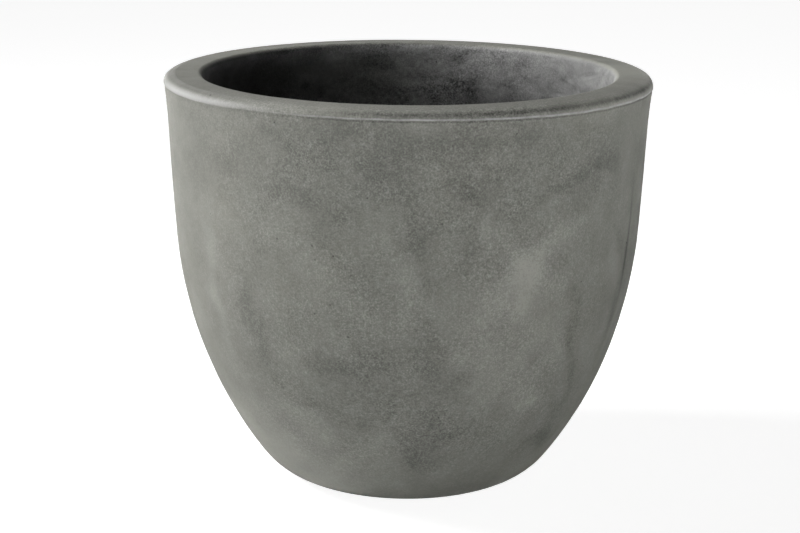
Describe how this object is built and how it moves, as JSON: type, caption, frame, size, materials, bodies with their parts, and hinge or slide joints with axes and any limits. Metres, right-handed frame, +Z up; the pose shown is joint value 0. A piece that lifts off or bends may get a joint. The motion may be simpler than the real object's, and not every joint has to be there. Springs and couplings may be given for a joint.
{
  "type": "bowl planter",
  "caption": "Deep round planter bowl of cast concrete: broad flat rim with a rounded bead, belly curving to a small flat foot, and a floor drain with a lift-out stopper.",
  "frame": {"origin": "centre of the flat foot, on the ground", "axes": "+Z up along the bowl's axis; the bowl is round, so +X and +Y are free"},
  "size_m": [0.4999, 0.5, 0.425],
  "materials": {
    "concrete": "matte",
    "sleeve_plastic": "satin",
    "stopper_rubber": "matte",
    "bar_steel": "matte",
    "tie_wire": "matte"
  },
  "bodies": {
    "planter": {"bowl_shell": "concrete", "drain_sleeve": "sleeve_plastic", "rim_hoop": "bar_steel", "upper_hoop": "bar_steel", "middle_hoop": "bar_steel", "lower_hoop": "bar_steel", "base_ring": "bar_steel", "wall_rib_1": "bar_steel", "wall_rib_2": "bar_steel", "wall_rib_3": "bar_steel", "wall_rib_4": "bar_steel", "wall_rib_5": "bar_steel", "wall_rib_6": "bar_steel", "wall_rib_7": "bar_steel", "wall_rib_8": "bar_steel", "tie_wires": "tie_wire"},
    "stopper": {"drain_plug": "stopper_rubber"}
  },
  "joints": [
    {"name": "stopper_lift", "type": "slide", "parent": "planter", "child": "stopper", "axis": [0, 0, 1], "range_m": [0, 0.45]}
  ]
}
